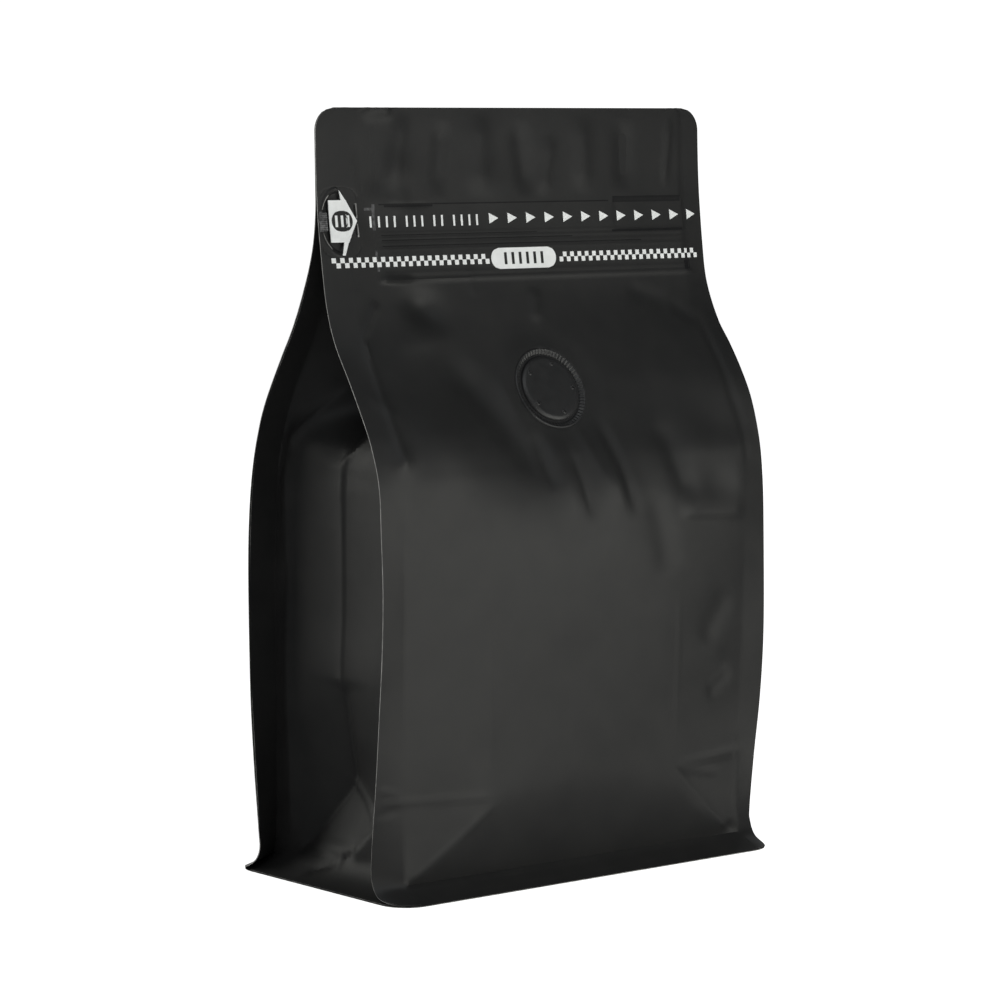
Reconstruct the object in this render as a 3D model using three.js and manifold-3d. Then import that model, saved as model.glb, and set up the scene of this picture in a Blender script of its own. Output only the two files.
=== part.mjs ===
// Flat-bottom coffee bag, filled and shut: a matt film pouch with two pleated sides, four side seal fins,
// a flat sealed header and a hem round its base, a round one-way valve in its front and a pull tab at the
// left of its header. Millimetres, +Z up, front towards -Y, origin on the ground under the middle.
import * as THREE from "three";
import { mergeVertices } from "three/addons/utils/BufferGeometryUtils.js";
import Module from "manifold-3d";

// ---- Driving dimensions -----------------------------------------------------------------------------
const filmWidth = 130; // front and back films, from side edge to side edge
const standHeight = 199.4; // ground to the top edge
const sealWidth = 8; // each side seal fin, and the hem
const filmThick = 0.7; // one sealed fin
const topRadius = 6; // top corners of the films
const hemRadius = 10; // bottom corners of the films, and of the hem seen from below
const hemHalfWidth = 64.6; // hem outline, left and right of the middle
const hemHalfDepth = 36.6; // hem outline, in front of and behind the middle
const hemRise = 7; // height over which the walls flare out into the hem
const finLean = 1.4; // how far a fin's tip stands out in front of its root
const headerFoot = 158; // the pleats close below this height and the films lie together above it
const rightShoulderLift = 2.6; // the right shoulder stands this much higher than the left

const valveDiameter = 22.3;
const valveHeight = 126.5; // valve centre above the ground
const valveFront = -17.9; // y of the film at the valve centre
const valveLean = THREE.MathUtils.degToRad(25.8); // how far the valve's plane leans back
const valveProud = 0.9; // height of its rim above the film
const valveBack = 1.6; // depth of its body behind the film
const valveGroove = 1.5; // width of the groove inside the rim
const pocketFront = 3; // height above the film up to which the valve's pocket is cut

const tabHeight = 16.5; // between the barbs of its arrow head
const tabStripHeight = 10.6;
const tabStripLeft = 3.6; // from the tab's middle to the left edge of its strip
const tabStripRight = 0.8; // where the strip meets the arrow head
const tabBarbX = -0.3;
const tabTipX = 4.7;
const tabThick = 0.5;
const tabPlace = new THREE.Vector3(-58.3, -4.3, 170.8);
const tabLean = THREE.MathUtils.degToRad(5.7); // leans back with the header
const fitGap = 0.3; // space left round a piece that lies in or on another

// Side view of the pouch as [height, y] points: the tips of the front and back fins, and the middles of
// the front and back panels between them.
const frontTip = [
  [0, -34], [2, -30], [4, -27.4], [hemRise, -25.1], [13, -24.7], [30, -26.8], [48, -28.5],
  [65, -29.9], [88, -29.5], [103, -28.6], [112, -26.6], [122, -22.8], [132, -17.4], [141, -11.3],
  [148, -7.9], [157, -5.8], [168, -4.2], [182, -2.8], [standHeight, -2.4],
];
const frontMiddle = [
  [0, -36.4], [2, -34.2], [4, -33], [hemRise, -32], [14, -31.2], [30, -31.2], [52, -32.1],
  [75, -32.8], [84, -32.8], [92, -32.2], [98, -31.1], [104, -29.2], [110, -26.7], [115, -24.1],
  [121, -20.8], [127.6, -17.3], [140, -11.5], [150, -7.8], [158, -5.8], [168, -4.2], [182, -2.8],
  [standHeight, -2.4],
];
const backTip = [
  [0, 34], [2, 30], [4, 27.2], [hemRise, 24.5], [13, 24], [30, 25.8], [48, 27.5],
  [70, 27.9], [92, 27.3], [106, 25.6], [116, 23.2], [125, 19.3], [135, 13.2], [144, 7.6],
  [153, 3], [161, 0.2], [168, -1], [178, -1.3], [standHeight, -1.2],
];
const backMiddle = [
  [0, 36.4], [2, 34.2], [4, 32.8], [hemRise, 31.8], [14, 31], [30, 31], [52, 31.8],
  [75, 32.4], [94, 30.8], [106, 27], [116, 23], [127, 17.5], [138, 11.6], [148, 6.6],
  [157, 2.4], [164, 0], [172, -1.1], [182, -1.3], [standHeight, -1.2],
];
// Depth of each side pleat as [height, depth] points: nearly flat along the body, then folded right in
// under the header. Below its foot point the pleat opens out into a flat triangle.
const pleatFoot = 26;
const pleatTriangleBase = 5;
const pleatDepth = [
  [0, 6], [pleatFoot, 6], [52, 2.6], [80, 2.4], [104, 4], [112, 8.5], [120, 16.5],
  [130, 21.5], [140, 24], [149, 20], [headerFoot - 2, 4], [headerFoot, 0], [standHeight, 0],
];

// Fineness of the faceted surfaces.
const hemRows = 5;
const wallRows = 34;
const topRows = 4;
const panelColumns = 16;
const finColumns = 2;
const pleatColumns = 8;
const hemSides = 96;
const hemRings = 5;
const valveSides = 48;

const wasm = await Module();
wasm.setup();

// ---- Curves -----------------------------------------------------------------------------------------
// Value at a height of the smooth curve through [height, value] points.
function along(points, height) {
  const last = points.length - 2;
  let i = 0;
  while (i < last && height > points[i + 1][0]) i += 1;
  const slope = (j) => {
    const a = points[Math.max(j - 1, 0)];
    const b = points[Math.min(j + 1, points.length - 1)];
    return (b[1] - a[1]) / (b[0] - a[0]);
  };
  const [z0, y0] = points[i];
  const [z1, y1] = points[i + 1];
  const span = z1 - z0;
  const t = THREE.MathUtils.clamp((height - z0) / span, 0, 1);
  const bend = (t ** 3 - 2 * t ** 2 + t) * slope(i) + (t ** 3 - t ** 2) * slope(i + 1);
  return y0 + (y1 - y0) * (3 * t ** 2 - 2 * t ** 3) + bend * span;
}

// Height of a numbered row: closer together through the hem and round the top corners.
function rowHeight(row) {
  const wallTop = standHeight - topRadius;
  if (row < hemRows) return hemRise * (row / hemRows) ** 1.5;
  const wallShare = (row - hemRows) / wallRows;
  if (wallShare <= 1) return hemRise + (wallTop - hemRise) * wallShare;
  const turn = ((row - hemRows - wallRows) / topRows) * (Math.PI / 2);
  return wallTop + topRadius * Math.sin(turn);
}

// Half width of the films at a height: straight sides with round corners at top and bottom.
function filmHalfWidth(height) {
  const corner = (distance, radius) => {
    const inside = Math.max(radius - Math.max(distance, 0), 0);
    return radius - Math.sqrt(radius ** 2 - inside ** 2);
  };
  const hemFilm = (height / hemRise) ** 0.6 * hemRadius; // film length from the hem's edge to this height
  return filmWidth / 2 - corner(standHeight - height, topRadius) - corner(hemFilm, hemRadius);
}

// y of the outer face of the front (side -1) or back (side 1) film at a place.
function filmY(side, x, height) {
  const tipPoints = side < 0 ? frontTip : backTip;
  const middlePoints = side < 0 ? frontMiddle : backMiddle;
  const rootX = filmWidth / 2 - sealWidth;
  const onShoulder = THREE.MathUtils.smoothstep(height, 100, 116)
    * (1 - THREE.MathUtils.smoothstep(height, 140, 156));
  const lifted = height - ((rightShoulderLift * x) / filmWidth) * onShoulder;
  const tip = along(tipPoints, lifted);
  const lean = finLean * (1 - THREE.MathUtils.smoothstep(height, 148, headerFoot));
  const root = tip - side * lean;
  const out = Math.abs(x) - rootX;
  if (out > 0) return root + (tip - root) * Math.min(out / sealWidth, 1);
  const crown = 1 - Math.abs(x / rootX) ** 2.4;
  return root + (along(middlePoints, lifted) - root) * crown;
}

// ---- Solids -----------------------------------------------------------------------------------------
// Moves each vertex of a geometry to where the place function says.
function mapped(geometry, place) {
  const position = geometry.getAttribute("position");
  const point = new THREE.Vector3();
  for (let i = 0; i < position.count; i += 1) {
    point.fromBufferAttribute(position, i);
    position.setXYZ(i, ...place(point).toArray());
  }
  return geometry;
}

function toSolid(geometry) {
  const bare = geometry.clone();
  bare.deleteAttribute("normal");
  bare.deleteAttribute("uv");
  const merged = mergeVertices(bare, 1e-3);
  const mesh = new wasm.Mesh({
    numProp: 3,
    vertProperties: new Float32Array(merged.attributes.position.array),
    triVerts: new Uint32Array(merged.index.array),
  });
  return new wasm.Manifold(mesh);
}

function toGeometry(solid) {
  const mesh = solid.getMesh();
  const geometry = new THREE.BufferGeometry();
  geometry.setAttribute("position", new THREE.BufferAttribute(mesh.vertProperties, 3));
  geometry.setIndex(new THREE.BufferAttribute(mesh.triVerts, 1));
  geometry.computeVertexNormals();
  return geometry;
}

// x of a column from its share of the half width: the panel first, then the fin.
function columnX(share, halfWidth) {
  const panelShare = panelColumns / (panelColumns + 2 * finColumns);
  const rootX = halfWidth - sealWidth;
  const size = Math.abs(share);
  const x = size <= panelShare
    ? (rootX * size) / panelShare
    : rootX + (sealWidth * (size - panelShare)) / (1 - panelShare);
  return Math.sign(share) * x;
}

// One film from hem to top edge, with its two side fins.
function filmGeometry(side) {
  const columns = panelColumns + 2 * finColumns;
  const rows = hemRows + wallRows + topRows;
  return mapped(new THREE.BoxGeometry(2, 1, 1, columns, 1, rows), (p) => {
    const z = rowHeight((p.z + 0.5) * rows);
    const x = columnX(p.x, filmHalfWidth(z));
    const outerY = filmY(side, x, z);
    const inwards = p.y * side > 0 ? 0 : filmThick;
    return new THREE.Vector3(x, outerY - side * inwards, z);
  });
}

// The filling and pleated sides between the two films.
function bodyGeometry() {
  const rootX = filmWidth / 2 - sealWidth;
  const rows = hemRows + wallRows;
  return mapped(new THREE.BoxGeometry(2, 2, 1, panelColumns, pleatColumns, rows), (p) => {
    const z = rowHeight((p.z + 0.5) * rows);
    const aboveTriangle = Math.max((z - pleatTriangleBase) / (pleatFoot - pleatTriangleBase), 0);
    const pleat = along(pleatDepth, z) * Math.min(1 - Math.abs(p.y), aboveTriangle);
    const x = p.x * (rootX - pleat);
    const front = filmY(-1, x, z) + filmThick / 2;
    const back = filmY(1, x, z) - filmThick / 2;
    return new THREE.Vector3(x, THREE.MathUtils.lerp(front, back, (p.y + 1) / 2), z);
  });
}

// Point of a rounded rectangle's outline at a share of the way round.
function outlinePoint(shape, share) {
  const spot = shape.getPointAt(share % 1);
  return new THREE.Vector3(spot.x, spot.y, 0);
}

function roundedRectangle(halfWidth, halfDepth, radius) {
  const w = halfWidth - radius;
  const d = halfDepth - radius;
  const outline = new THREE.Path();
  outline.absarc(w, -d, radius, -Math.PI / 2, 0);
  outline.absarc(w, d, radius, 0, Math.PI / 2);
  outline.absarc(-w, d, radius, Math.PI / 2, Math.PI);
  outline.absarc(-w, -d, radius, Math.PI, Math.PI * 1.5);
  outline.closePath();
  return outline;
}

// The sealed hem: a flat-bottomed foot whose sides sweep up in a hollow curve to the walls.
function hemGeometry() {
  const rootX = filmWidth / 2 - sealWidth;
  const wallY = -along(frontTip, hemRise) - finLean / 2;
  const ring = new THREE.CylinderGeometry(1, 1, 1, hemSides, hemRings);
  const outlines = new Map();
  const outlineAt = (rise) => {
    if (!outlines.has(rise)) {
      const draw = (1 - rise) ** 2;
      const halfWidth = THREE.MathUtils.lerp(rootX, hemHalfWidth, draw);
      const halfDepth = THREE.MathUtils.lerp(wallY, hemHalfDepth, draw);
      outlines.set(rise, roundedRectangle(halfWidth, halfDepth, hemRadius * (0.4 + 0.6 * draw)));
    }
    return outlines.get(rise);
  };
  return mapped(ring, (p) => {
    const rise = Math.round((p.y + 0.5) * hemRings) / hemRings;
    const z = hemRise * rise ** 1.3;
    if (Math.hypot(p.x, p.z) < 0.5) return new THREE.Vector3(0, 0, z);
    const step = Math.round((Math.atan2(p.x, p.z) / (2 * Math.PI)) * hemSides + hemSides);
    return outlinePoint(outlineAt(rise), (step % hemSides) / hemSides).setZ(z);
  });
}

// The valve: a disc with a raised rim, a groove inside the rim and a flat middle.
function valveGeometry() {
  const radius = valveDiameter / 2;
  const inner = radius - valveGroove;
  const profile = [
    [0, -valveBack],
    [radius, -valveBack],
    [radius, valveProud * 0.55],
    [radius - 0.35, valveProud],
    [radius - 0.9, valveProud * 0.8],
    [inner, valveProud * 0.15],
    [inner - 0.5, valveProud * 0.4],
    [inner - 1.2, valveProud * 0.3],
    [0, valveProud * 0.3],
  ];
  const outline = profile.map(([r, h]) => new THREE.Vector2(Math.max(r, 0), h));
  return new THREE.LatheGeometry(outline, valveSides);
}

// The valve's pocket in the front film: a plain round hole, open to the front.
function pocketGeometry() {
  const radius = valveDiameter / 2 + fitGap;
  const back = -valveBack - fitGap;
  const pocket = new THREE.CylinderGeometry(radius, radius, pocketFront - back, valveSides);
  return pocket.translate(0, (pocketFront + back) / 2, 0);
}

// Turns a valve lathed about +Y so that its axis points out of the leaning film, and puts it there.
function placeValve(object) {
  object.rotation.x = Math.PI - valveLean;
  object.position.set(0, valveFront, valveHeight);
  object.updateMatrix();
  return object;
}

// The pull tab: an upright strip with an arrow head pointing along the header.
function tabGeometry() {
  const outline = new THREE.Shape();
  outline.moveTo(-tabStripLeft, -tabStripHeight / 2);
  outline.lineTo(tabStripRight, -tabStripHeight / 2);
  outline.lineTo(tabBarbX, -tabHeight / 2);
  outline.lineTo(tabTipX, 0);
  outline.lineTo(tabBarbX, tabHeight / 2);
  outline.lineTo(tabStripRight, tabStripHeight / 2);
  outline.lineTo(-tabStripLeft, tabStripHeight / 2);
  outline.closePath();
  const plate = new THREE.ExtrudeGeometry(outline, { depth: tabThick, bevelEnabled: false });
  return plate.rotateX(Math.PI / 2);
}

// ---- Pieces -----------------------------------------------------------------------------------------
const finishes = {
  film: { color: 0x2b2b2c, roughness: 0.5, metalness: 0 },
  valve: { color: 0x242425, roughness: 0.4, metalness: 0 },
  tab: { color: 0xd8dad6, roughness: 0.45, metalness: 0 },
};

function piece(name, geometry, finish) {
  const mesh = new THREE.Mesh(geometry, new THREE.MeshStandardMaterial(finish));
  mesh.name = name;
  return mesh;
}

const valvePlace = placeValve(new THREE.Object3D()).matrix.toArray();
const pouchSolid = toSolid(filmGeometry(-1))
  .add(toSolid(filmGeometry(1)))
  .add(toSolid(bodyGeometry()))
  .add(toSolid(hemGeometry()))
  .subtract(toSolid(pocketGeometry()).transform(valvePlace));

const pouch = piece("pouch", toGeometry(pouchSolid), finishes.film);
const valve = placeValve(piece("valve", valveGeometry(), finishes.valve));
const tab = piece("pull_tab", tabGeometry(), finishes.tab);
tab.position.copy(tabPlace);
tab.rotation.x = -tabLean;

const group = new THREE.Group();
group.add(pouch, valve, tab);

export default group;
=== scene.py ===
"""Flat-bottom coffee bag: its films, valve, pull tab and header print, with a studio and a camera.

Sizes are millimetres in the frame's own axes: +Z up, front towards -Y, origin on the ground under the
middle of the base. A mesh is scaled to metres when it becomes an object.
"""

import logging
import math
from bisect import bisect_right
from dataclasses import dataclass, field
from enum import Enum
from typing import Callable, Iterator

import bmesh
import bpy
from mathutils import Matrix, Vector


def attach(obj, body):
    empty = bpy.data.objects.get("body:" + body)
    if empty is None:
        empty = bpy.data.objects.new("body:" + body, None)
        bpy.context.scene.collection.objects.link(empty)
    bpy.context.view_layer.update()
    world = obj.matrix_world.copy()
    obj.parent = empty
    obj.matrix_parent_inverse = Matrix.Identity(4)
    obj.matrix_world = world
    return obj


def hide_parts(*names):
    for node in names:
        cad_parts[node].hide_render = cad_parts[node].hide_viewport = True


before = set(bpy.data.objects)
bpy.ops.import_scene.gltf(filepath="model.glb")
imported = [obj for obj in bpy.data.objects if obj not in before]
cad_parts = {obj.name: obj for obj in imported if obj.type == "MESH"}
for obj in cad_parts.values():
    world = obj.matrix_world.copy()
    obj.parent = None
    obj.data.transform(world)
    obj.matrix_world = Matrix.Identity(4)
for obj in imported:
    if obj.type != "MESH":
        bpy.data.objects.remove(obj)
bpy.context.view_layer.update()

MM = 0.001
FILM = 0.25  # thickness of the front and back films and of the pull tab
INNER_FILM = FILM * 0.6  # thickness of the side and bottom films
WELD = 0.0005  # points nearer to each other than this become one
log = logging.getLogger("coffee_bag")

Knots = tuple[tuple[float, float], ...]
Spot = tuple[float, float]
Colour = tuple[float, float, float]


# ---- Curves and folds ---------------------------------------------------------------------------------
def smooth_step(value: float, start: float, end: float) -> float:
    """Rises smoothly from 0 at start to 1 at end.

    Args:
        value: Where to read it.
        start: Where it leaves 0.
        end: Where it reaches 1.

    Returns:
        The share, from 0 to 1.
    """
    share = min(max((value - start) / (end - start), 0.0), 1.0)
    return share * share * (3.0 - 2.0 * share)


def smooth_max(a: float, b: float, blend: float) -> float:
    """The larger of two values, rounded over where they are close.

    Args:
        a: One value.
        b: The other value.
        blend: How far apart they are when the rounding ends.

    Returns:
        The rounded maximum.
    """
    gap = max(blend - abs(a - b), 0.0) / blend
    return max(a, b) + gap * gap * blend * 0.25


class Profile:
    """A smooth curve through [height, value] knots."""

    def __init__(self, knots: Knots) -> None:
        """Keeps the knots and works out the slope at each."""
        self.heights = [height for height, _ in knots]
        self.values = [value for _, value in knots]
        last = len(knots) - 1
        self.slopes = []
        for i in range(last + 1):
            low, high = max(i - 1, 0), min(i + 1, last)
            rise = self.values[high] - self.values[low]
            self.slopes.append(rise / (self.heights[high] - self.heights[low]))

    def at(self, height: float) -> float:
        """Reads the curve.

        Args:
            height: Height in millimetres, held inside the knots.

        Returns:
            The value there.
        """
        i = min(max(bisect_right(self.heights, height) - 1, 0), len(self.heights) - 2)
        span = self.heights[i + 1] - self.heights[i]
        t = min(max((height - self.heights[i]) / span, 0.0), 1.0)
        bend = (t**3 - 2 * t * t + t) * self.slopes[i] + (t**3 - t * t) * self.slopes[i + 1]
        return self.values[i] + (self.values[i + 1] - self.values[i]) * (3 * t * t - 2 * t**3) + bend * span


RIDGE_REACH = 3.0  # a round fold has died away at this many widths from its line
SHARP_REACH = 7.0  # and a step or a tent at this many
TENT_END = 0.001  # what is left of a tent there
DENT_REACH = 3.0  # a dent has died away at this many radii


class FoldForm(Enum):
    """How a fold stands across its line."""

    RIDGE = "round on both sides"
    STEP = "a step up to the left of its direction, which levels out again further off"
    TENT = "sharp at the line, falling away on both sides"


@dataclass(frozen=True)
class Fold:
    """A straight fold in a film, from start to end in the film's own two directions."""

    start: Spot
    end: Spot
    height: float
    width: float
    form: FoldForm = FoldForm.RIDGE
    fade: float = 0.3  # share of its length over which each end dies away

    @property
    def reach(self) -> float:
        """How far from its line it still moves the film."""
        return self.width * (RIDGE_REACH if self.form is FoldForm.RIDGE else SHARP_REACH)

    def at(self, a: float, b: float) -> float:
        """Reads how far the fold moves the film outwards.

        Args:
            a: Place along the film's first direction.
            b: Place along its second direction.

        Returns:
            Millimetres outwards.
        """
        run_a, run_b = self.end[0] - self.start[0], self.end[1] - self.start[1]
        length = math.hypot(run_a, run_b)
        da, db = a - self.start[0], b - self.start[1]
        along = (da * run_a + db * run_b) / length
        if along < 0.0 or along > length:
            return 0.0
        across = (run_a * db - run_b * da) / length
        if abs(across) > self.reach:
            return 0.0
        share = along / length
        ends = smooth_step(share, 0.0, self.fade) * smooth_step(1.0 - share, 0.0, self.fade)
        if self.form is FoldForm.RIDGE:
            return self.height * ends * math.exp(-((across / self.width) ** 2))
        if self.form is FoldForm.STEP:
            level = 1.0 - smooth_step(across, self.width, self.reach)
            return self.height * ends * smooth_step(across, -self.width, self.width) * level
        return self.height * ends * max(math.exp(-abs(across) / self.width) - TENT_END, 0.0)


@dataclass(frozen=True)
class Dent:
    """An oval hollow (negative height) or swelling in a film."""

    centre: Spot
    radii: Spot
    height: float
    turn: float = 0.0  # degrees, of its first radius from the film's first direction

    def at(self, a: float, b: float) -> float:
        """Millimetres outwards at a place on the film."""
        da, db = a - self.centre[0], b - self.centre[1]
        cos, sin = math.cos(math.radians(self.turn)), math.sin(math.radians(self.turn))
        p = (da * cos + db * sin) / self.radii[0]
        q = (db * cos - da * sin) / self.radii[1]
        size = p * p + q * q
        return self.height * math.exp(-size) if size < DENT_REACH**2 else 0.0


@dataclass(frozen=True)
class Panel:
    """A rectangle that stands higher (or, with a negative height, lower) than the film round it."""

    low: Spot
    high: Spot
    height: float
    edge: float  # width of its sloping border

    def at(self, a: float, b: float) -> float:
        """Millimetres outwards at a place on the film."""
        inset = min(a - self.low[0], self.high[0] - a, b - self.low[1], self.high[1] - b)
        return self.height * smooth_step(inset, 0.0, self.edge) if inset > 0.0 else 0.0


@dataclass(frozen=True)
class Ripple:
    """Broad, shallow waves all over a film."""

    heading: float  # degrees from the film's first direction
    wavelength: float
    height: float
    offset: float = 0.0

    def at(self, a: float, b: float) -> float:
        """Millimetres outwards at a place on the film."""
        angle = math.radians(self.heading)
        along = a * math.cos(angle) + b * math.sin(angle)
        return self.height * math.sin(2.0 * math.pi * along / self.wavelength + self.offset)


Feature = Fold | Dent | Panel | Ripple
Relief = tuple[Feature, ...]
TENT, STEP = FoldForm.TENT, FoldForm.STEP


def relief_at(features: Relief, a: float, b: float) -> float:
    """Sum of all features at a place.

    Args:
        features: The folds and dents of one film.
        a: Place along the film's first direction.
        b: Place along its second direction.

    Returns:
        Millimetres outwards.
    """
    return sum(feature.at(a, b) for feature in features)


# ---- The shape of the filled pouch --------------------------------------------------------------------
@dataclass
class PouchForm:
    """Outer faces of the filled pouch, which every film, print and fitting lies on."""

    film_width: float = 130.0
    stand_height: float = 199.4
    seal: float = 8.0
    hem_height: float = 4.2  # the hem's seal line above the ground
    hem_curve: float = 1.1  # power with which the hem rises from its edge to its seal line
    edge_lift: float = 0.24  # the films' bottom edges above the ground
    hem_corner: float = 4.2
    top_corner: float = 6.0
    film_length: float = 212.0  # bottom edge to top edge, along the film
    valve_spot: Spot = (-0.6, 126.75)
    valve_y: float = -17.8
    valve_lean: float = 25.8  # degrees
    valve_flat: Spot = (11.6, 19.0)  # the film is flat inside the first radius, free outside the second
    front_left_tip: Profile = Profile((
        (0, -30), (0.4, -28.9), (1.5, -27.6), (3, -26.1), (4.9, -25), (7, -24.5), (15, -24.8),
        (30, -26.3), (46, -27.8), (62, -29.1), (78, -29.6), (93, -28.9), (106, -28.0), (116, -24.8),
        (122, -21.7), (131, -16.3), (140, -10.4), (148.5, -7.0), (161, -4.8), (178, -2.9),
        (199.4, -2.2)))
    front_left_root: Profile = Profile((
        (0, -36.3), (1.5, -33.3), (4.2, -29.2), (6, -28.8), (13, -28.2), (26, -27.8), (39, -27.9),
        (52, -28.1), (77, -28.4), (93, -28.5), (102, -28.2), (107, -27.5), (116.6, -24.3), (123, -20.9),
        (130, -16.6), (141, -11.0), (149, -8.2), (161, -5.6), (178, -3.1), (199.4, -2.2)))
    front_middle: Profile = Profile((
        (0, -36.4), (1.5, -33.4), (4.2, -29.0), (6, -30.8), (9, -32), (14, -32.3), (30, -32.3),
        (52, -32.5), (72, -32.8), (84, -32.8), (92, -32.2), (98, -31.1), (104, -29.2), (110, -26.7),
        (115, -24.1), (121, -20.8), (127.6, -17.3), (140, -11.5), (150, -7.9), (158, -5.9), (168, -4.2),
        (182, -2.8), (199.4, -2.3)))
    front_right_root: Profile = Profile((
        (0, -36.3), (1.5, -33.3), (4.2, -28.9), (7, -28.6), (15, -27.8), (28, -27.8), (40, -28.7),
        (67, -29.9), (94, -30.5), (108, -28.9), (115, -26.0), (126.8, -21.4), (136.7, -15.3),
        (146.8, -9.6), (154.6, -6.9), (163, -5.2), (178, -3.0), (199.4, -2.2)))
    front_right_tip: Profile = Profile((
        (0, -32.5), (0.4, -31.5), (1.2, -28.7), (2, -27.1), (3.7, -25.8), (5, -25.3), (7.5, -24.7),
        (22, -26.3), (40, -28.6), (63, -29.8), (92, -29.5), (105, -28.6), (113, -27.1), (122, -24.2),
        (129, -20.5), (136, -15.9), (142, -11.4), (152, -6.7), (161, -4.8), (178, -2.8), (199.4, -2.2)))
    back_tip: Profile = Profile((
        (0, 33.5), (1, 30.5), (2.4, 27.4), (4.1, 25.1), (7, 23.7), (10, 23.9), (30, 25.8), (50, 27.4),
        (72, 27.9), (92, 27.3), (107, 25.5), (118, 22.4), (124.5, 19.5), (135, 13.2), (143.6, 7.7),
        (153.5, 2.9), (163, -0.5), (172, -1.9), (181, -2.0), (199.4, -1.8)))
    back_root: Profile = Profile((
        (0, 36.3), (1.5, 33.3), (4.2, 29.2), (6, 28.2), (15, 27), (30, 26.9), (50, 27), (72, 27.2),
        (92, 26.8), (107, 25.3), (118, 22.2), (124.5, 19.3), (135, 13.2), (143.6, 7.9), (153.5, 3.1),
        (163, -0.4), (172, -1.8), (181, -2.0), (199.4, -1.8)))
    back_middle: Profile = Profile((
        (0, 36.4), (1.5, 33.5), (4.2, 29.5), (6, 30.8), (9, 31.8), (14, 32), (30, 32), (52, 32.3),
        (75, 32.4), (94, 30.8), (106, 27), (116, 23), (127, 17.5), (138, 11.6), (148, 6.6), (157, 2.4),
        (164, -0.1), (172, -1.6), (182, -2), (199.4, -1.8)))
    pleat_depth: Profile = Profile((
        (0, 6), (26, 6), (40, 4), (53, 2.4), (70, 2.9), (96, 3), (104, 3), (112, 4.6), (117, 9.8),
        (122, 16), (130, 21.5), (140, 24.5), (150, 26), (160, 27), (199.4, 27)))
    base_facet: Profile = Profile((
        (4.2, 28.6), (7, 29.35), (10, 30.05), (13, 30.65), (16, 31.15), (20, 31.7), (25, 32.15),
        (32, 32.6), (40, 33.2)))  # y of the tucked-in foot
    tuck_blend: float = 0.3  # how gently a panel turns into its tucked-in foot
    box_line: float = 31.6  # the panels are flat between these lines low down
    box_blend: float = 0.2
    boxiness: Profile = Profile(((0, 1), (14, 1), (34, 0.4), (60, 0.2), (86, 0)))  # and round higher up
    dome_power: float = 2.4
    pleat_foot: float = 26.0
    triangle_foot: float = 3.4  # height at which the pleat's open triangle would end, at its middle
    triangle_skew: float = 24.0  # the triangle's front leg ends higher by this, its back leg lower
    triangle_top: float = 20.0
    pleat_free: float = 9.0  # height at which the pleat is free of the hem

    @property
    def half_width(self) -> float:
        """Middle of the film to its side edge."""
        return self.film_width / 2

    @property
    def root_x(self) -> float:
        """Middle of the film to the side seal's inner line."""
        return self.half_width - self.seal

    def height_at(self, length: float) -> float:
        """Height of a place on a film, from its distance along the film above the bottom edge."""
        if length < self.seal:
            share = (length / self.seal) ** self.hem_curve
            return self.edge_lift + (self.hem_height - self.edge_lift) * share
        share = (length - self.seal) / (self.film_length - self.seal)
        return self.hem_height + (self.stand_height - self.hem_height) * share

    def half_width_at(self, length: float) -> float:
        """Half width of a film with its round corners, at a distance along it above the bottom edge."""
        def cut(distance: float, radius: float) -> float:
            """Width lost to a round corner at a distance from the film's end."""
            inside = max(radius - max(distance, 0.0), 0.0)
            return radius - math.sqrt(radius * radius - inside * inside)
        below_top = self.stand_height - self.height_at(length)
        return self.half_width - cut(length, self.hem_corner) - cut(below_top, self.top_corner)

    def film_spot(self, across: float, length: float) -> Spot:
        """x and z on a film, from a share of its width and a distance along it above the bottom edge."""
        return (2.0 * across - 1.0) * self.half_width_at(length), self.height_at(length)

    def crown(self, out: float, z: float) -> float:
        """How far a panel swells at a place.

        Args:
            out: 0 at the middle of the width, 1 at the seal lines.
            z: Height.

        Returns:
            1 at the middle, 0 at the seal lines.
        """
        line = self.box_line / self.root_x
        boxy = 1.0 - smooth_max((out - line) / (1.0 - line), 0.0, self.box_blend)
        domed = 1.0 - out**self.dome_power
        return domed + (boxy - domed) * self.boxiness.at(z)

    def panel_y(
        self, tips: tuple[float, float], roots: tuple[float, float], middle: float, x: float, z: float,
    ) -> float:
        """y of a film between and on its side seals.

        Args:
            tips: y at the left and right edges.
            roots: y at the left and right seal lines.
            middle: y at the middle of the width.
            x: Place across the width.
            z: Height.

        Returns:
            y at that place.
        """
        if abs(x) > self.root_x:
            side = 0 if x < 0 else 1
            share = min((abs(x) - self.root_x) / self.seal, 1.0)
            share **= 2.0 - smooth_step(z, 0.0, self.hem_height)
            return roots[side] + (tips[side] - roots[side]) * share
        across = x / self.root_x
        straight = roots[0] + (roots[1] - roots[0]) * smooth_step(across, -1.0, 1.0)
        return straight + (middle - (roots[0] + roots[1]) / 2) * self.crown(abs(across), z)

    def tucked(self, out: float, x: float, z: float) -> float:
        """Draws a panel in over its foot, where the bottom film folds it under.

        Args:
            out: How far the panel stands out from the middle of the bag.
            x: Place across the width.
            z: Height.

        Returns:
            How far it stands out with its foot drawn in.
        """
        if z < self.hem_height or abs(x) > self.root_x:
            return out
        return -smooth_max(-out, -self.base_facet.at(z), self.tuck_blend)

    def front_y(self, x: float, z: float) -> float:
        """y of the front film's outer face before its folds, with the flat round the valve."""
        tips = (self.front_left_tip.at(z), self.front_right_tip.at(z))
        roots = (self.front_left_root.at(z), self.front_right_root.at(z))
        y = -self.tucked(-self.panel_y(tips, roots, self.front_middle.at(z), x, z), x, z)
        distance = math.hypot(x - self.valve_spot[0], (z - self.valve_spot[1]) / math.cos(self.lean))
        if distance > self.valve_flat[1]:
            return y
        flat = 1.0 - smooth_step(distance, *self.valve_flat)
        return y + (self.valve_plane_y(z) - y) * flat

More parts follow.
